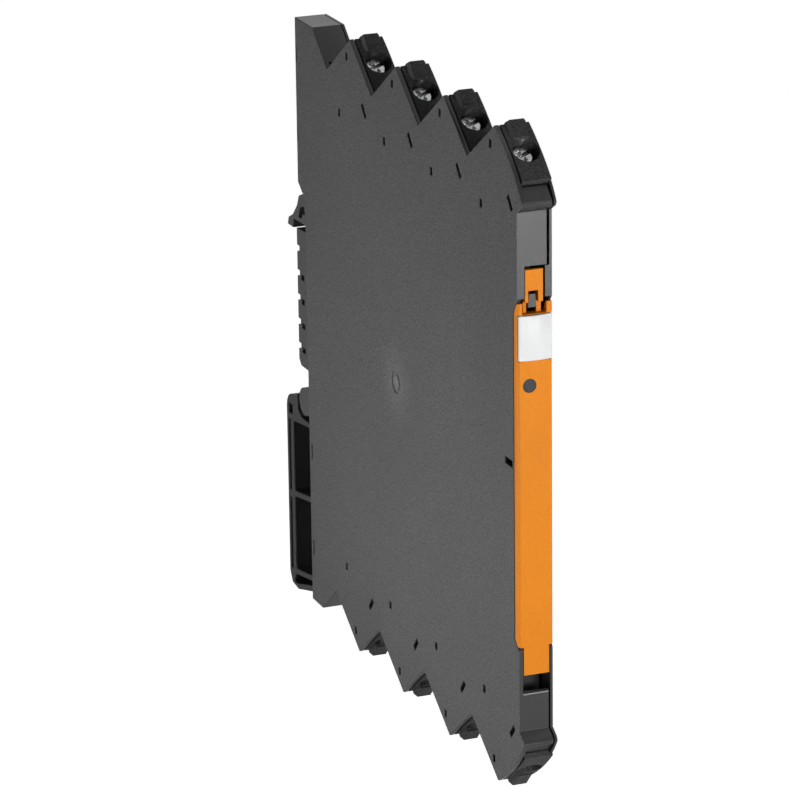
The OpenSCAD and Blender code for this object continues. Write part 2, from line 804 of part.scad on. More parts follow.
module clamp_yoke() {
    // The bore reaches down to where the screw's tip is when the yoke is up
    bore_z = bar_z - yoke_travel - slide_gap;
    color([0.7, 0.71, 0.72]) on_face() translate([screw_w, -screw_s, 0]) difference() {
        translate([-yoke_w / 2, -yoke_len / 2, yoke_inner_z - yoke_floor])
            cube([yoke_w, yoke_len, yoke_top_t + yoke_gap + yoke_floor]);
        translate([-yoke_w / 2 + yoke_side, -yoke_len, yoke_inner_z])
            cube([yoke_w - 2 * yoke_side, 2 * yoke_len, yoke_gap]);
        translate([0, 0, bore_z])
            cylinder(d = screw_d + 2 * run_gap, h = yoke_z + eps - bore_z);
    }
}

// Bar inside the yoke, with a pin that lies on the circuit board.
module current_bar() {
    color([0.72, 0.6, 0.42]) {
        on_face() translate([screw_w - bar_w / 2, -bar_front, bar_z - bar_t])
            cube([bar_w, bar_front - bar_rear, bar_t]);
        translate([board_w - pin_t, pin_d - pin_len / 2, pin_low])
            cube([pin_t, pin_len, pin_h - pin_low]);
    }
}

// Electronics

module circuit_board() {
    color([0.1, 0.35, 0.2]) place() translate([board_w, board_front, -board_h])
        cube([board_t, board_len, 2 * board_h]);
}

// A place on the board: shares of its length from the front and of its half height from the middle.
function on_board(along, up) = [board_front + along * board_len, up * board_h];
core_mid = on_board(0.48, 0);

module transformer_core() {
    color([0.22, 0.22, 0.23]) place() slab(board_w - core_h, board_w)
        translate(core_mid) difference() {
            square(core_size, center = true);
            square(core_size - 2 * core_limb, center = true);
        }
}

module transformer_winding() {
    color([0.75, 0.45, 0.2]) place() slab(board_w - core_h + 0.3, board_w)
        translate(core_mid)
        square(core_size - 2 * core_limb - [2, 2] * slide_gap, center = true);
}

module isolation_chips() {
    color([0.12, 0.12, 0.13]) place() slab(board_w - chip_h, board_w) {
        for (along = [0.27, 0.68], up = [-0.24, 0.24]) {
            translate(on_board(along, up)) square(chip_size, center = true);
        }
        translate(on_board(0.27, 0.68)) square(main_chip_size, center = true);
        translate(on_board(0.68, -0.68)) square(small_chip_size, center = true);
    }
}

module capacitors() {
    color([0.7, 0.71, 0.72]) place() for (along = [0.8, 0.87], up = [-0.16, 0.16]) {
        translate([board_w - cap_h, on_board(along, up)[0], on_board(along, up)[1]])
            rotate([0, 90, 0]) cylinder(d = cap_d, h = cap_h);
    }
}

// Bent spring contacts of the bus, from the comb to the board.
module bus_contacts() {
    color([0.8, 0.66, 0.35]) place() for (p = [1:bus_poles]) {
        translate([0, 0, pole_h(p) - 0.5]) linear_extrude(height = 1)
            polygon(strip([[board_w, board_rear - 2], [board_w, back_d - 1],
                           [board_w - 0.1, back_d + 1], [board_w - 0.9, comb_d - 2],
                           [board_w - 0.4, comb_d - 0.6]], 0.3));
    }
}

// Setting switch behind the flap

function way_h(k) = switch_h + ((switch_ways + 1) / 2 - k) * way_pitch;

module setting_switch() {
    color([0.75, 0.1, 0.1]) place() difference() {
        translate([switch_w0, switch_front, switch_h - switch_ways * way_pitch / 2])
            cube([switch_w, switch_depth, switch_ways * way_pitch]);
        for (k = [1:switch_ways]) {
            translate([knob_w - slide_gap, switch_front - 1, way_h(k) - knob / 2 - slide_gap])
                cube([knob_slot, 1 + knob_in + slide_gap, knob + 2 * slide_gap]);
        }
    }
}

module switch_slider(k) {
    color([0.95, 0.95, 0.95]) place()
        translate([knob_w, switch_front - knob_out, way_h(k) - knob / 2])
        cube([knob, knob_out + knob_in, knob]);
}

housing();
far_cover();
front_flap();
marker_tag();
indicator_lens();
indicator_led();
rail_foot();
circuit_board();
transformer_core();
transformer_winding();
isolation_chips();
capacitors();
bus_contacts();
setting_switch();
for (k = [1:switch_ways]) {
    switch_slider(k);
}
for (k = [1:terminals]) {
    color([0.2, 0.2, 0.21]) place() at_tooth(k) terminal_block();
    place() at_tooth(k) terminal_screw();
    place() at_tooth(k) clamp_yoke();
    place() at_tooth(k) current_bar();
}
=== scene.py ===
# %% [markdown]
# # A slim signal isolator, made to look moulded
# The frame holds the exact solids. This script gives them the looks of the real object: grained
# dark plastic, a satin orange flap, bright screws, softened edges, and the small electronics that
# show when the flap is open.

# %% Load the frame
import json
import math
import bmesh
import bpy
import numpy as np
from mathutils import Matrix, Vector


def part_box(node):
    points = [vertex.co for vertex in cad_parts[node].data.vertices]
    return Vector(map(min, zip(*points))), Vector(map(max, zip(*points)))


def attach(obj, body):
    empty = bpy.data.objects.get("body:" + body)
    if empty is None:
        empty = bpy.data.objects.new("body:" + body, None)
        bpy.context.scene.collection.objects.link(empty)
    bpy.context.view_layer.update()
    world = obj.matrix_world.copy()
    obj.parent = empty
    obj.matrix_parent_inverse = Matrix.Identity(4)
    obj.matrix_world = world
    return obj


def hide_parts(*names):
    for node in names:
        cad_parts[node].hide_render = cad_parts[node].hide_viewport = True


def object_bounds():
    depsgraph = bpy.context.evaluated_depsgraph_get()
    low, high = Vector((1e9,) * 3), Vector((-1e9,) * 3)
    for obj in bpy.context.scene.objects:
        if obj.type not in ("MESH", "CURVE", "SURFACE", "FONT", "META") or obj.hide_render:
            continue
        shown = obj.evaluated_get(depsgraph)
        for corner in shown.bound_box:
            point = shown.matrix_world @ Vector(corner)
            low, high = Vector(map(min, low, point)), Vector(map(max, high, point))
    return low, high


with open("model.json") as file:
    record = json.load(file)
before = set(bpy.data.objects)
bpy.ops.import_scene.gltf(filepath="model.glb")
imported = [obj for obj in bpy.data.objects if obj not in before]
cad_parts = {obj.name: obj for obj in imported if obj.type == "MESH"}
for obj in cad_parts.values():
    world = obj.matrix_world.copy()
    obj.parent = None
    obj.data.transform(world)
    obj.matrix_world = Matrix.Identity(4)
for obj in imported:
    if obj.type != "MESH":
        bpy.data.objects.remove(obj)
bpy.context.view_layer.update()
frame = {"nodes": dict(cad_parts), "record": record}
nodes = frame["nodes"]
MM = 0.001

# %% [markdown]
# ## Shared surface effects
# The same few effects come back on many pieces, so each is one node group, which gives only values
# that vary over the surface. An image texture could do the same, but a formula stays sharp at any
# distance. These helpers add nodes and read the piece's own coordinates, so that a pattern stays
# on its piece when a joint moves.

# %% Node helpers
def new_group(name, inputs, outputs):
    """An empty node group with float inputs {name: value} and float outputs."""
    group = bpy.data.node_groups.new(name, "ShaderNodeTree")
    for label, value in inputs.items():
        socket = group.interface.new_socket(label, in_out="INPUT", socket_type="NodeSocketFloat")
        socket.default_value = value
    for label in outputs:
        group.interface.new_socket(label, in_out="OUTPUT", socket_type="NodeSocketFloat")
    enter = group.nodes.new("NodeGroupInput")
    leave = group.nodes.new("NodeGroupOutput")
    return group, enter, leave


def add(tree, kind, **settings):
    """A node with some of its settings and unlinked inputs set."""
    made = tree.nodes.new(kind)
    for label, value in settings.items():
        if hasattr(made, label):
            setattr(made, label, value)
        else:
            made.inputs[label.replace("_", " ")].default_value = value
    return made


def object_noise(tree, scale_socket, detail):
    """Noise over the object's own coordinates."""
    place = add(tree, "ShaderNodeTexCoord")
    noise = add(tree, "ShaderNodeTexNoise", Detail=detail)
    tree.links.new(place.outputs["Object"], noise.inputs["Vector"])
    tree.links.new(scale_socket, noise.inputs["Scale"])
    return noise


NOISE_LOW, NOISE_HIGH = 0.3, 0.7


def spread(tree, source, low, high):
    """Stretches the middle of a noise, where most of it lies, to the range from low to high."""
    stretch = add(tree, "ShaderNodeMapRange")
    stretch.inputs["From Min"].default_value = NOISE_LOW
    stretch.inputs["From Max"].default_value = NOISE_HIGH
    stretch.inputs["To Min"].default_value = low
    stretch.inputs["To Max"].default_value = high
    tree.links.new(source, stretch.inputs["Value"])
    return stretch.outputs["Result"]


print("node helpers ready")

# %% [markdown]
# ### Grain and handling
# The sides of a moulding are grained because its mould was spark-eroded, and broad patches differ a
# little in tone and gloss where plastic flowed or hands have been. Both are noise: one fine, which
# is also a height, and one broad.

# %% Grain and handling
def grain_group():
    """Mould grain: fine noise as height, and as a tone of 1 plus or minus the contrast."""
    group, enter, leave = new_group("Mould grain", {"Scale": 3000.0, "Contrast": 0.4},
                                    ["Height", "Tone"])
    noise = object_noise(group, enter.outputs["Scale"], 3.0)
    tone = add(group, "ShaderNodeMath", operation="MULTIPLY_ADD")
    group.links.new(spread(group, noise.outputs["Fac"], -1.0, 1.0), tone.inputs[0])
    group.links.new(enter.outputs["Contrast"], tone.inputs[1])
    tone.inputs[2].default_value = 1.0
    group.links.new(noise.outputs["Fac"], leave.inputs["Height"])
    group.links.new(tone.outputs["Value"], leave.inputs["Tone"])
    return group


def patch_group():
    """Handling: broad patches that change the tone and the roughness a little."""
    group, enter, leave = new_group("Handling", {"Scale": 45.0}, ["Tone", "Roughness"])
    noise = object_noise(group, enter.outputs["Scale"], 4.0)
    group.links.new(spread(group, noise.outputs["Fac"], 0.95, 1.05), leave.inputs["Tone"])
    group.links.new(spread(group, noise.outputs["Fac"], -0.05, 0.05), leave.inputs["Roughness"])
    return group


GRAIN = grain_group()
HANDLING = patch_group()
print("groups", GRAIN.name, HANDLING.name)

# %% [markdown]
# ### Gate halo and broad faces
# Hot plastic enters the mould at a gate, and the surface around it stays paler. The halo is a mask
# that falls off with the distance from one point. A second mask tells the grained broad sides of a
# piece from the smooth narrow walls between them, by the distance from the middle plane.

# %% Gate halo and broad faces
def halo_group():
    """Gate halo: 1 at a point of the near side face, falling smoothly to 0 at the given radius."""
    group, enter, leave = new_group("Gate halo", {"Y": 0.0, "Z": 0.0, "Radius": 0.01}, ["Mask"])
    place = add(group, "ShaderNodeTexCoord")
    split = add(group, "ShaderNodeSeparateXYZ")
    centre = add(group, "ShaderNodeCombineXYZ")
    flat = add(group, "ShaderNodeCombineXYZ")
    far = add(group, "ShaderNodeVectorMath", operation="DISTANCE")
    near = add(group, "ShaderNodeMath", operation="LESS_THAN")
    near.inputs[1].default_value = 0.0
    fall = add(group, "ShaderNodeMapRange", interpolation_type="SMOOTHSTEP")
    fall.inputs["To Max"].default_value = 0.0
    group.links.new(place.outputs["Object"], split.inputs["Vector"])
    for axis in ("Y", "Z"):
        group.links.new(split.outputs[axis], flat.inputs[axis])
        group.links.new(enter.outputs[axis], centre.inputs[axis])
    group.links.new(flat.outputs["Vector"], far.inputs[0])
    group.links.new(centre.outputs["Vector"], far.inputs[1])
    group.links.new(split.outputs["X"], near.inputs[0])
    group.links.new(near.outputs["Value"], fall.inputs["To Min"])
    group.links.new(far.outputs["Value"], fall.inputs["Value"])
    group.links.new(enter.outputs["Radius"], fall.inputs["From Max"])
    group.links.new(fall.outputs["Result"], leave.inputs["Mask"])
    return group


def broad_group():
    """Broad faces: 1 on the two outer sides of a piece, 0 on the narrow walls between them."""
    group, enter, leave = new_group("Broad faces", {"Inner": 2.85 * MM, "Outer": 3.0 * MM}, ["Mask"])
    place = add(group, "ShaderNodeTexCoord")
    split = add(group, "ShaderNodeSeparateXYZ")
    size = add(group, "ShaderNodeMath", operation="ABSOLUTE")
    step = add(group, "ShaderNodeMapRange", interpolation_type="SMOOTHSTEP")
    group.links.new(enter.outputs["Inner"], step.inputs["From Min"])
    group.links.new(enter.outputs["Outer"], step.inputs["From Max"])
    group.links.new(place.outputs["Object"], split.inputs["Vector"])
    group.links.new(split.outputs["X"], size.inputs[0])
    group.links.new(size.outputs["Value"], step.inputs["Value"])
    group.links.new(step.outputs["Result"], leave.inputs["Mask"])
    return group


HALO = halo_group()
BROAD = broad_group()
print("groups", HALO.name, BROAD.name)

# %% [markdown]
# ### Worked metal
# Turned, stamped and drawn metal keeps fine lines from its tools. They are noise drawn out along
# the width, as a shallow height and as a change of gloss.

# %% Worked metal
LINE_STRETCH = 0.12


def metal_group():
    """Worked metal: noise drawn out along X, as height and as a change of roughness."""
    group, enter, leave = new_group("Worked metal", {"Scale": 2500.0}, ["Height", "Roughness"])
    place = add(group, "ShaderNodeTexCoord")
    stretch = add(group, "ShaderNodeMapping")
    stretch.inputs["Scale"].default_value = (LINE_STRETCH, 1.0, 1.0)
    noise = add(group, "ShaderNodeTexNoise", Detail=2.0)
    group.links.new(place.outputs["Object"], stretch.inputs["Vector"])
    group.links.new(stretch.outputs["Vector"], noise.inputs["Vector"])
    group.links.new(enter.outputs["Scale"], noise.inputs["Scale"])
    group.links.new(noise.outputs["Fac"], leave.inputs["Height"])
    group.links.new(spread(group, noise.outputs["Fac"], -0.06, 0.06), leave.inputs["Roughness"])
    return group


METAL = metal_group()
print("group", METAL.name)

# %% [markdown]
# ## Materials
# One material for each slot of the record. Plastics share a recipe: colour times grain times
# handling, with the grain as a very shallow bump. On the housing and the foot, the walls between
# the broad sides are smoother and darker, as a polished mould leaves them, with a thin coat for
# their sheen. On the foot the same darker tone also falls on the floors of the pockets in its side,
# where it is painted shade. The metals share another recipe. Colours are typed as they look on a
# screen and turned into light values here.

# %% Material helpers
EDGE_LOOK = 0.15 * MM
BUMP_STRENGTH = 0.5


def light(colour):
    """Screen colour from 0 to 255 turned into linear light."""
    c = np.array(colour) / 255.0
    return np.where(c <= 0.04045, c / 12.92, ((c + 0.055) / 1.055) ** 2.4)


def use(tree, group, **values):
    """A group node in a material, with its inputs set."""
    made = tree.nodes.new("ShaderNodeGroup")
    made.node_tree = group
    for label, value in values.items():
        made.inputs[label].default_value = value
    return made


def maths(tree, operation, a, b):
    """a and b joined by a plain operation; each is a socket or a number."""
    made = add(tree, "ShaderNodeMath", operation=operation)
    for socket, value in zip(made.inputs, (a, b)):
        if isinstance(value, (int, float)):
            socket.default_value = value
        else:
            tree.links.new(value, socket)
    return made.outputs["Value"]


def blank(name):
    """A new material with its tree and its main shader."""
    material = bpy.data.materials.new(name)
    material.use_nodes = True
    tree = material.node_tree
    return material, tree, tree.nodes["Principled BSDF"]


def bump(tree, shader, height, depth):
    """Feeds a height to the shader as a bump of the given depth, over edges that look rounded."""
    made = add(tree, "ShaderNodeBump", Strength=BUMP_STRENGTH, Distance=depth)
    edge = add(tree, "ShaderNodeBevel", samples=6, Radius=EDGE_LOOK)
    tree.links.new(edge.outputs["Normal"], made.inputs["Normal"])
    tree.links.new(height, made.inputs["Height"])
    tree.links.new(made.outputs["Normal"], shader.inputs["Normal"])
    return made


def tinted(tree, shader, colour, tone):
    """Base colour times a tone."""
    scale = add(tree, "ShaderNodeVectorMath", operation="SCALE")
    scale.inputs[0].default_value = tuple(light(colour))
    tree.links.new(tone, scale.inputs["Scale"])
    tree.links.new(scale.outputs["Vector"], shader.inputs["Base Color"])


print("material helpers ready")

# %% Material recipes
HALO_LIFT = 0.35
WALL_DARKER = 0.6
WALL_SMOOTHER = 0.3
WALL_COAT = 0.7
WALL_COAT_ROUGH = 0.25
LINE_DEPTH = 0.00001


def plastic(name, colour, rough, shine=0.3, grain=3000.0, contrast=0.05, depth=0.000004,
            halo=(), polish_and_shade=None):
    """Moulded plastic: grained, slightly uneven in tone and gloss, paler in each halo given.
    Given the depths where its broad faces begin and end, only they are grained, and the walls
    between them are smooth, deeper and glossier."""
    material, tree, shader = blank(name)
    shader.inputs["Specular IOR Level"].default_value = shine
    fine = use(tree, GRAIN, Scale=grain, Contrast=contrast)
    broad = use(tree, HANDLING)
    tone = maths(tree, "MULTIPLY", fine.outputs["Tone"], broad.outputs["Tone"])
    gloss = maths(tree, "ADD", broad.outputs["Roughness"], rough)
    relief = bump(tree, shader, fine.outputs["Height"], depth)
    for ring in halo:
        pale = use(tree, HALO, **ring)
        lift = maths(tree, "MULTIPLY", pale.outputs["Mask"], HALO_LIFT)
        tone = maths(tree, "MULTIPLY", tone, maths(tree, "ADD", lift, 1.0))
    # Every face set back from the broad sides takes the darker wall tone: on the narrow walls it
    # stands for a polished mould, and on the floors of pockets and recesses it is painted shade.
    if polish_and_shade:
        mask = use(tree, BROAD, **polish_and_shade).outputs["Mask"]
        wall = maths(tree, "SUBTRACT", 1.0, mask)
        tree.links.new(maths(tree, "MULTIPLY", mask, contrast), fine.inputs["Contrast"])
        height = maths(tree, "MULTIPLY", mask, fine.outputs["Height"])
        tree.links.new(height, relief.inputs["Height"])
        deeper = maths(tree, "SUBTRACT", 1.0, maths(tree, "MULTIPLY", wall, WALL_DARKER))
        tone = maths(tree, "MULTIPLY", tone, deeper)
        gloss = maths(tree, "SUBTRACT", gloss, maths(tree, "MULTIPLY", wall, WALL_SMOOTHER))
        shader.inputs["Coat Roughness"].default_value = WALL_COAT_ROUGH
        tree.links.new(maths(tree, "MULTIPLY", wall, WALL_COAT), shader.inputs["Coat Weight"])
    tinted(tree, shader, colour, tone)
    tree.links.new(gloss, shader.inputs["Roughness"])
    return material


def metal(name, colour, rough):
    """Plated or drawn metal with fine working lines."""
    material, tree, shader = blank(name)
    lines = use(tree, METAL)
    shader.inputs["Base Color"].default_value = (*light(colour), 1.0)
    shader.inputs["Metallic"].default_value = 1.0
    gloss = maths(tree, "ADD", lines.outputs["Roughness"], rough)
    tree.links.new(gloss, shader.inputs["Roughness"])
    bump(tree, shader, lines.outputs["Height"], LINE_DEPTH)
    return material


print("recipes ready")

# %% One material for each slot
GATE = (-51.1 * MM, 2.4 * MM)
gate_halos = [{"Y": GATE[0], "Z": GATE[1], "Radius": r * MM} for r in (9, 2.6)]
housing_sides = {"Inner": 2.85 * MM, "Outer": 3.0 * MM}
foot_sides_shading_pockets = {"Inner": 1.9 * MM, "Outer": 2.1 * MM}
finishes = {
    "housing_plastic": plastic("housing_plastic", (84, 84, 84), 0.55, shine=0.25, contrast=0.5,
                               depth=0.00003, halo=gate_halos, polish_and_shade=housing_sides),
    # The foot's pocket floors lie deeper than its broad sides, so they get the darker wall tone,
    # which is painted shade in the pockets.
    "foot_plastic": plastic("foot_plastic", (60, 60, 61), 0.5, contrast=0.2, depth=0.00002,
                            polish_and_shade=foot_sides_shading_pockets),
    "terminal_plastic": plastic("terminal_plastic", (54, 54, 55), 0.42, contrast=0.6, depth=0.00003),
    "flap_plastic": plastic("flap_plastic", (209, 122, 14), 0.5, shine=0.15),
    "tag_plastic": plastic("tag_plastic", (208, 210, 210), 0.35, contrast=0.01),
    "lens_plastic": plastic("lens_plastic", (40, 43, 44), 0.25),
    "led_plastic": plastic("led_plastic", (222, 232, 206), 0.2),
    "board_laminate": plastic("board_laminate", (24, 84, 48), 0.35, grain=1500.0, contrast=0.1),
    "ferrite": plastic("ferrite", (54, 54, 57), 0.6, contrast=0.2),
    "winding_tape": plastic("winding_tape", (176, 106, 38), 0.3),
    "chip_plastic": plastic("chip_plastic", (32, 32, 34), 0.5),
    "switch_plastic": plastic("switch_plastic", (170, 36, 32), 0.45),
    "slider_plastic": plastic("slider_plastic", (238, 238, 234), 0.4),
    "can_metal": metal("can_metal", (196, 198, 202), 0.3),
    "contact_metal": metal("contact_metal", (222, 184, 96), 0.25),
    "screw_metal": metal("screw_metal", (214, 215, 216), 0.22),
    "yoke_metal": metal("yoke_metal", (178, 180, 182), 0.32),
    "bar_metal": metal("bar_metal", (200, 182, 150), 0.3),
}
slot_of = {s["node"]: s["material_slot"] for s in frame["record"]["subparts"]}
for name, piece in nodes.items():
    piece.data.materials.clear()
    piece.data.materials.append(finishes[slot_of[name]])
print("materials", len(finishes))

# %% [markdown]
# ## Softened edges
# No moulded or stamped edge is a perfect corner: a tenth of a millimetre of rounding is what
# catches the light along the teeth. On the small plain pieces a bevel rounds every sharp edge. On
# the large mouldings it follows the rims of the two flat sides, because their other corners are
# too crowded for it; the bevel node in the materials makes those look soft as well.

# %% Edge rounding
TOUCH = 0.000002
SHARP_ANGLE = math.radians(32)
ALL_EDGES = {"marker_tag": 0.12, "switch_slider": 0.05, "setting_switch": 0.08,
             "isolation_chips": 0.08, "terminal_screw": 0.02}
RIMS = {"housing": 0.14, "far_cover": 0.14, "rail_foot": 0.08, "front_flap": 0.12,
        "terminal_block": 0.08, "clamp_yoke": 0.06, "transformer_core": 0.08, "circuit_board": 0.05}
SLOT_Y = -3.98 * MM
SLOT_REACH = 1.7 * MM
GATE_REACH = 3.0 * MM
SHARP_SPOTS = [(*GATE, GATE_REACH), (SLOT_Y, 35.0 * MM, SLOT_REACH), (SLOT_Y, 49.5 * MM, SLOT_REACH)]


def read(items, label, width, kind):
    """One property of all items of a mesh, as an array of the given width."""
    values = np.empty(len(items) * width, dtype=kind)
    items.foreach_get(label, values)
    return values.reshape(-1, width)


def mark_rims(mesh):
    """Gives a bevel weight to the edges around the flat faces that lie furthest out along X.

    Faces that meet at a corner don't share edges in these meshes, so the rim of a flat face is the
    edges that one face alone uses. The gate ring and two narrow slots stay sharp.
    """
    points = read(mesh.vertices, "co", 3, float)
    ends = read(mesh.edges, "vertices", 2, int)
    uses = np.bincount(read(mesh.loops, "edge_index", 1, int).ravel(), minlength=len(ends))
    out = np.abs(points[:, 0])
    rim = (out > out.max() - TOUCH)[ends].all(1) & (uses == 1)
    middle = points[ends].mean(1)
    for y, z, radius in SHARP_SPOTS:
        rim &= np.hypot(middle[:, 1] - y, middle[:, 2] - z) > radius
    weight = mesh.attributes.new("bevel_weight_edge", "FLOAT", "EDGE")
    weight.data.foreach_set("value", rim.astype(np.float32))


def soften(piece, width, limit):
    """Welds split corners and rounds sharp edges, or marked ones, by a width in millimetres."""
    weld = piece.modifiers.new("weld", "WELD")
    weld.merge_threshold = TOUCH
    round_off = piece.modifiers.new("round", "BEVEL")
    round_off.width = width * MM
    round_off.segments = 2
    round_off.limit_method = limit
    round_off.angle_limit = SHARP_ANGLE
    round_off.use_clamp_overlap = False
    round_off.harden_normals = True


for name, piece in nodes.items():
    for start, width in ALL_EDGES.items():
        if name.startswith(start):
            soften(piece, width, "ANGLE")
    for start, width in RIMS.items():
        if name.startswith(start):
            mark_rims(piece.data)
            soften(piece, width, "WEIGHT")
print("softened", sum(len(p.modifiers) > 0 for p in nodes.values()))

# %% [markdown]
# ## Surfaces from formulas
# The small electronics are surfaces over a grid of two numbers, or a profile carried along a path.
# One helper turns a grid of points into a mesh in one step, one finds the separate solids of a CAD
# node so that the new surfaces sit where the solids do, and one closes a mesh at its poles and ends.

# %% Grid helpers
def grid_mesh(name, grids, slot, body, closed_u=False, closed_v=False):
    """Mesh from arrays of points (copies, rows, columns, 3); a closed direction joins its ends."""
    points = np.asarray(grids, dtype=float)
    copies, rows, cols, _ = points.shape
    r = np.arange(rows if closed_u else rows - 1)
    c = np.arange(cols if closed_v else cols - 1)
    r0, c0 = np.meshgrid(r, c, indexing="ij")
    r1, c1 = (r0 + 1) % rows, (c0 + 1) % cols
    quad = np.stack([r0 * cols + c0, r1 * cols + c0, r1 * cols + c1, r0 * cols + c1], -1)
    quads = quad.reshape(1, -1, 4) + (np.arange(copies) * rows * cols)[:, None, None]
    mesh = bpy.data.meshes.new(name)
    mesh.from_pydata(points.reshape(-1, 3).tolist(), [], quads.reshape(-1, 4).tolist())
    mesh.polygons.foreach_set("use_smooth", np.ones(len(mesh.polygons), dtype=bool))
    mesh.update()
    piece = bpy.data.objects.new(name, mesh)
    bpy.context.scene.collection.objects.link(piece)
    mesh.materials.append(finishes[slot])
    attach(piece, body)
    return piece


def loose_boxes(node):
    """Lowest and highest corners of each separate solid of a CAD node, as arrays (solids, 3).

    Corners at the same place are one point, and each edge passes the smaller label to its other
    end until nothing changes, so that every solid is left with one label.
    """
    mesh = nodes[node].data
    points = read(mesh.vertices, "co", 3, float)
    ends = read(mesh.edges, "vertices", 2, int)
    points, same = np.unique(points.round(7), axis=0, return_inverse=True)
    a, b = same.ravel()[ends].T
    label = np.arange(len(points))
    while True:
        low = label.copy()
        np.minimum.at(low, a, label[b])
        np.minimum.at(low, b, label[a])
        if (low == label).all():
            break
        label = low
    groups = [points[label == n] for n in np.unique(label)]
    return np.array([g.min(0) for g in groups]), np.array([g.max(0) for g in groups])


MERGE = 0.0001 * MM


def face_out(piece):
    """Merges the points of a pole, fills open ends, turns all faces outward and marks sharp edges."""
    work = bmesh.new()
    work.from_mesh(piece.data)
    bmesh.ops.remove_doubles(work, verts=work.verts, dist=MERGE)
    bmesh.ops.holes_fill(work, edges=work.edges, sides=0)
    bmesh.ops.recalc_face_normals(work, faces=work.faces)
    for edge in work.edges:
        edge.smooth = edge.calc_face_angle(0.0) < SHARP_ANGLE
    work.to_mesh(piece.data)
    work.free()


print("grid helpers ready")

# %% [markdown]
# ### Capacitor cans
# A drawn aluminium can is a surface of revolution: a flat top, a rounded shoulder, a straight wall
# and a rolled groove near the base. It stands on the board with its axis across the module.

# %% Capacitors
def lathe(profile, centres, axis_sign, turns=48):
    """Points of a profile of (radius, height) turned about an axis along X through each centre."""
    angle = np.linspace(0, 2 * np.pi, turns, endpoint=False)
    r, h = np.asarray(profile).T
    y = r[:, None] * np.cos(angle)
    z = r[:, None] * np.sin(angle)
    x = np.broadcast_to(axis_sign * h[:, None], y.shape)
    return np.stack([x, y, z], -1)[None] + np.asarray(centres)[:, None, None, :]


cap_lo, cap_hi = loose_boxes("capacitors")
cap_r = (cap_hi[0, 2] - cap_lo[0, 2]) / 2
cap_h = cap_hi[0, 0] - cap_lo[0, 0]
cap_at = (cap_lo + cap_hi) / 2
cap_at[:, 0] = cap_hi[:, 0]
shoulder_r = 0.3 * MM
groove_at = 0.35 * MM
groove_width = 0.4 * MM
groove_depth = 0.16 * MM
shoulder = np.linspace(0, np.pi / 2, 7)
groove = np.linspace(0, np.pi, 9)
can = np.concatenate([
    [[0.0, 0.0], [cap_r, 0.0]],
    np.stack([cap_r - groove_depth * np.sin(groove), groove_at + groove_width * groove / np.pi], -1),
    np.stack([cap_r - shoulder_r * (1 - np.cos(shoulder)),
              cap_h - shoulder_r * (1 - np.sin(shoulder))], -1),
    [[0.0, cap_h]],
])
cans = grid_mesh("capacitor_cans", lathe(can, cap_at, -1), "can_metal", "frame", closed_v=True)
face_out(cans)
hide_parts("capacitors")
print("capacitor faces", len(cans.data.polygons))

# %% [markdown]
# ### Wound coil
# The winding in the transformer is a rounded block whose side is ribbed by the wire: a rounded
# rectangle, carried across the winding's width, swells and shrinks a little for each turn.

# %% Winding
coil_lo, coil_hi = (np.array(v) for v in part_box("transformer_winding"))
coil_mid = (coil_lo + coil_hi) / 2
coil_half = (coil_hi - coil_lo) / 2
points_round = 96
points_across = 121
around = np.linspace(0, 2 * np.pi, points_round, endpoint=False)
across = np.linspace(-1, 1, points_across)
wire_turns = 14
wire_height = 0.05 * MM
squareness = 0.35
end_share = 0.04
ripple = wire_height * (np.abs(np.sin(across * np.pi * wire_turns / 2)) - 1.0)
ends = np.clip((1 - np.abs(across)) / end_share, 0, 1)[:, None]
edge = np.sign(np.cos(around)) * np.abs(np.cos(around)) ** squareness
rise = np.sign(np.sin(around)) * np.abs(np.sin(around)) ** squareness
size_x = (coil_half[0] + ripple)[:, None] * ends
size_z = (coil_half[2] + ripple)[:, None] * ends
coil = np.stack([
    coil_mid[0] + size_x * edge,
    np.broadcast_to((coil_mid[1] + coil_half[1] * across)[:, None], (points_across, points_round)),
    coil_mid[2] + size_z * rise,
], -1)
winding = grid_mesh("wound_coil", coil[None], "winding_tape", "frame", closed_v=True)
face_out(winding)
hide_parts("transformer_winding")
print("winding faces", len(winding.data.polygons))

# %% [markdown]
# ### Chip legs
# A chip's leg is a flat ribbon bent like a gull's wing: out of the body, down, and out again along
# the board. One bent line, thickened and carried along its width, is copied to every leg.

# %% Chip legs
chip_lo, chip_hi = loose_boxes("isolation_chips")
board_x = chip_hi[0, 0]
line = np.array([[0.0, 0.65], [0.3, 0.65], [0.5, 0.12], [0.95, 0.12]]) * MM
leg_t = 0.12 * MM
leg_pitch = 1.27 * MM
leg_half = 0.2 * MM
loop = np.concatenate([line, line[::-1] - [0, leg_t]])
legs = []
for low, high in zip(chip_lo, chip_hi):
    count = int((high[1] - low[1]) / leg_pitch)
    start = (low[1] + high[1] - (count - 1) * leg_pitch) / 2
    for n, (edge_z, way) in enumerate([(low[2], -1), (high[2], 1)] * count):
        y = start + n // 2 * leg_pitch
        bent = np.stack([board_x - loop[:, 1], np.full(len(loop), y), edge_z + way * loop[:, 0]], -1)
        legs.append([bent - [0, leg_half, 0], bent + [0, leg_half, 0]])
chip_legs = grid_mesh("chip_legs", legs, "can_metal", "frame", closed_v=True)
face_out(chip_legs)
print("legs", len(legs))

# %% [markdown]
# ### Solder on the pins
# Solder climbs a pin in a hollow cone. It is a lathe profile that falls off like a parabola, laid
# over the spot where each current bar meets the board.

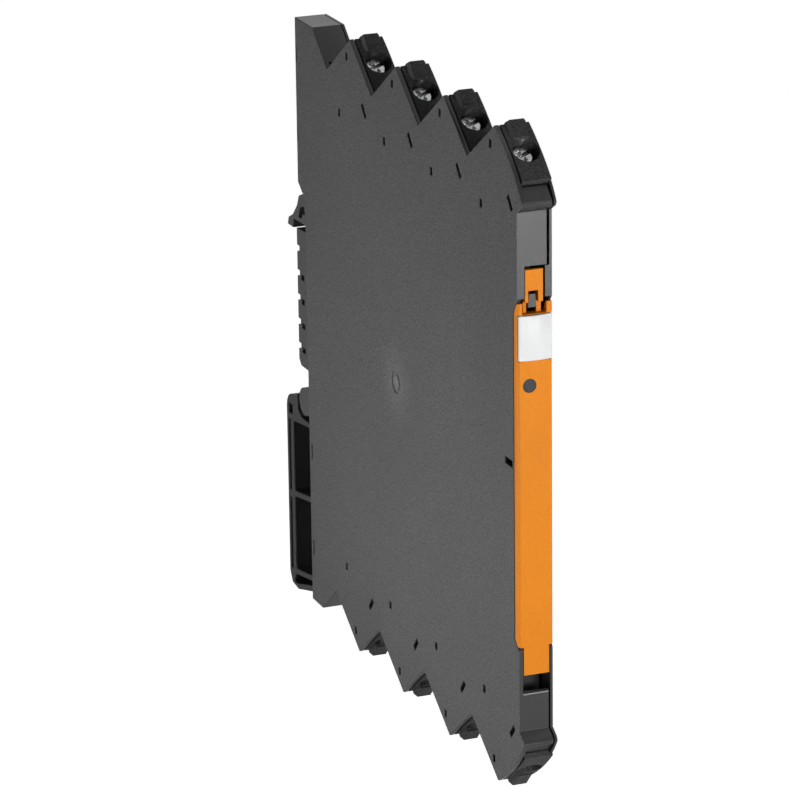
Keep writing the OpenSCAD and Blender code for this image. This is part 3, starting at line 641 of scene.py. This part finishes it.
# %% Solder
bars = [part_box("current_bar_%d" % k) for k in range(1, 9)]
upper_bars = 4
pin_from_end = 0.6 * MM
pin_from_front = 0.4 * MM
base_r = 0.95 * MM
tip_r = 0.2 * MM
solder_h = 0.55 * MM
fillets = []
for k, (lo, hi) in enumerate(bars):
    inner = lo[2] + pin_from_end if k < upper_bars else hi[2] - pin_from_end
    front_y = lo[1] + pin_from_front
    fillets.append((board_x, front_y, inner))
climb = np.linspace(0, 1, 9)
cone = np.stack([base_r - (base_r - tip_r) * climb, solder_h * climb ** 2], -1)
cone = np.concatenate([cone, [[0.0, solder_h]]])
solder = grid_mesh("solder", lathe(cone, fillets, -1, 24), "can_metal", "frame", closed_v=True)
face_out(solder)
print("solder points", len(fillets))

# %% [markdown]
# ## Stage
# A plain pale floor, soft lamps, and the camera that the photo was measured with. The background is
# white to the camera and lights the object far less than it shows. The floor works the same way:
# white to look at, a fill from below, and faint in reflections, so that the undersides of the teeth
# stay dark.

# %% Floor
lo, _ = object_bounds()
floor_mesh = bpy.data.meshes.new("floor")
reach = 3.0
floor_gap = 1.0 * MM
floor_z = lo[2] - floor_gap
floor_mesh.from_pydata([(-reach, -reach, floor_z), (reach, -reach, floor_z),
                        (reach, reach, floor_z), (-reach, reach, floor_z)], [], [(0, 1, 2, 3)])
floor = bpy.data.objects.new("floor", floor_mesh)
bpy.context.scene.collection.objects.link(floor)
pale, pale_tree, pale_shader = blank("pale_floor")
pale_shader.inputs["Base Color"].default_value = (0.9, 0.9, 0.9, 1.0)
pale_shader.inputs["Roughness"].default_value = 0.9
pale_shader.inputs["Emission Color"].default_value = (1.0, 1.0, 1.0, 1.0)
pale_path = add(pale_tree, "ShaderNodeLightPath")
SEEN_GLOW, FILL_GLOW, MIRROR_GLOW = 0.8, 0.35, 0.02
glow = maths(pale_tree, "MULTIPLY", pale_path.outputs["Is Camera Ray"], SEEN_GLOW)
fill = maths(pale_tree, "MULTIPLY", pale_path.outputs["Is Diffuse Ray"], FILL_GLOW)
mirror = maths(pale_tree, "MULTIPLY", pale_path.outputs["Is Glossy Ray"], MIRROR_GLOW)
glow = maths(pale_tree, "ADD", glow, maths(pale_tree, "ADD", fill, mirror))
pale_tree.links.new(glow, pale_shader.inputs["Emission Strength"])
floor_mesh.materials.append(pale)
print("floor at", round(floor_z, 4))

# %% [markdown]
# ### Lamps
# The photo shows an even side, bright front plates and dark slopes: a large lamp in front, weak ones
# around, and one close to the near side. Each lamp is a square soft box, given by its place, what it
# looks at, its size in metres and its power in watts.

# %% Lamps and background
def lamp(name, place, target, size, power):
    """A square soft box that looks at a target."""
    data = bpy.data.lights.new(name, "AREA")
    data.size = size
    data.energy = power
    made = bpy.data.objects.new(name, data)
    made.location = place
    made.visible_camera = False
    made.rotation_mode = "QUATERNION"
    made.rotation_quaternion = (Vector(target) - Vector(place)).to_track_quat("-Z", "Y")
    bpy.context.scene.collection.objects.link(made)


middle = (0.0, -0.045, 0.0)
lamp("key", (-0.45, -0.6, 0.5), middle, 0.5, 0.2)
lamp("front", (0.12, -0.8, -0.02), middle, 0.3, 6.0)
lamp("top", (0.25, -0.05, 0.8), middle, 0.3, 0.16)
lamp("side", (-0.13, -0.06, -0.045), (0.0, -0.05, -0.045), 0.08, 0.15)
lamp("rim", (-0.64, 0.23, 0.27), middle, 0.25, 0.6)
lamp("low", (0.07, -0.26, -0.03), (0.0, -0.105, 0.0), 0.12, 0.045)
lamp("back", (0.27, 0.72, 0.27), middle, 0.5, 0.3)
lamp("glint", (0.3, -0.78, 0.22), middle, 0.12, 0.3)

world = bpy.data.worlds.new("studio")
bpy.context.scene.world = world
world.use_nodes = True
sky = world.node_tree
shade = sky.nodes["Background"]
shade.inputs["Color"].default_value = (1.0, 1.0, 1.0, 1.0)
path = add(sky, "ShaderNodeLightPath")
AMBIENT = 0.1
seen = maths(sky, "MULTIPLY", path.outputs["Is Camera Ray"], 1.0 - AMBIENT)
sky.links.new(maths(sky, "ADD", seen, AMBIENT), shade.inputs["Strength"])
print("lamps", len(bpy.data.lights))

# %% [markdown]
# ### Camera
# The angles, the place and the focal length were fitted to the outline in the photo, with the known
# width, height and depth of the module. The roll is small, as with a camera on a stand.

# %% Camera
AZIMUTH = math.radians(21.038)
ELEVATION = math.radians(17.836)
ROLL = math.radians(-0.755)
CAMERA_PLACE = (-264.265 * MM, -732.03 * MM, 233.898 * MM)
ahead = Vector((math.sin(AZIMUTH) * math.cos(ELEVATION), math.cos(AZIMUTH) * math.cos(ELEVATION),
                -math.sin(ELEVATION)))
level = Vector((math.cos(AZIMUTH), -math.sin(AZIMUTH), 0.0))
above = level.cross(ahead)
right = level * math.cos(ROLL) + above * math.sin(ROLL)
up = above * math.cos(ROLL) - level * math.sin(ROLL)
lens = bpy.data.cameras.new("camera")
lens.lens = 201.97
lens.sensor_width = 36.0
lens.clip_start = 0.05
lens.clip_end = 20.0
camera = bpy.data.objects.new("camera", lens)
turn = Matrix((right, up, -ahead)).transposed().to_4x4()
camera.matrix_world = Matrix.Translation(CAMERA_PLACE) @ turn
bpy.context.scene.collection.objects.link(camera)
bpy.context.scene.camera = camera
bpy.context.scene.view_settings.view_transform = "Standard"
print("camera", [round(v, 3) for v in CAMERA_PLACE])
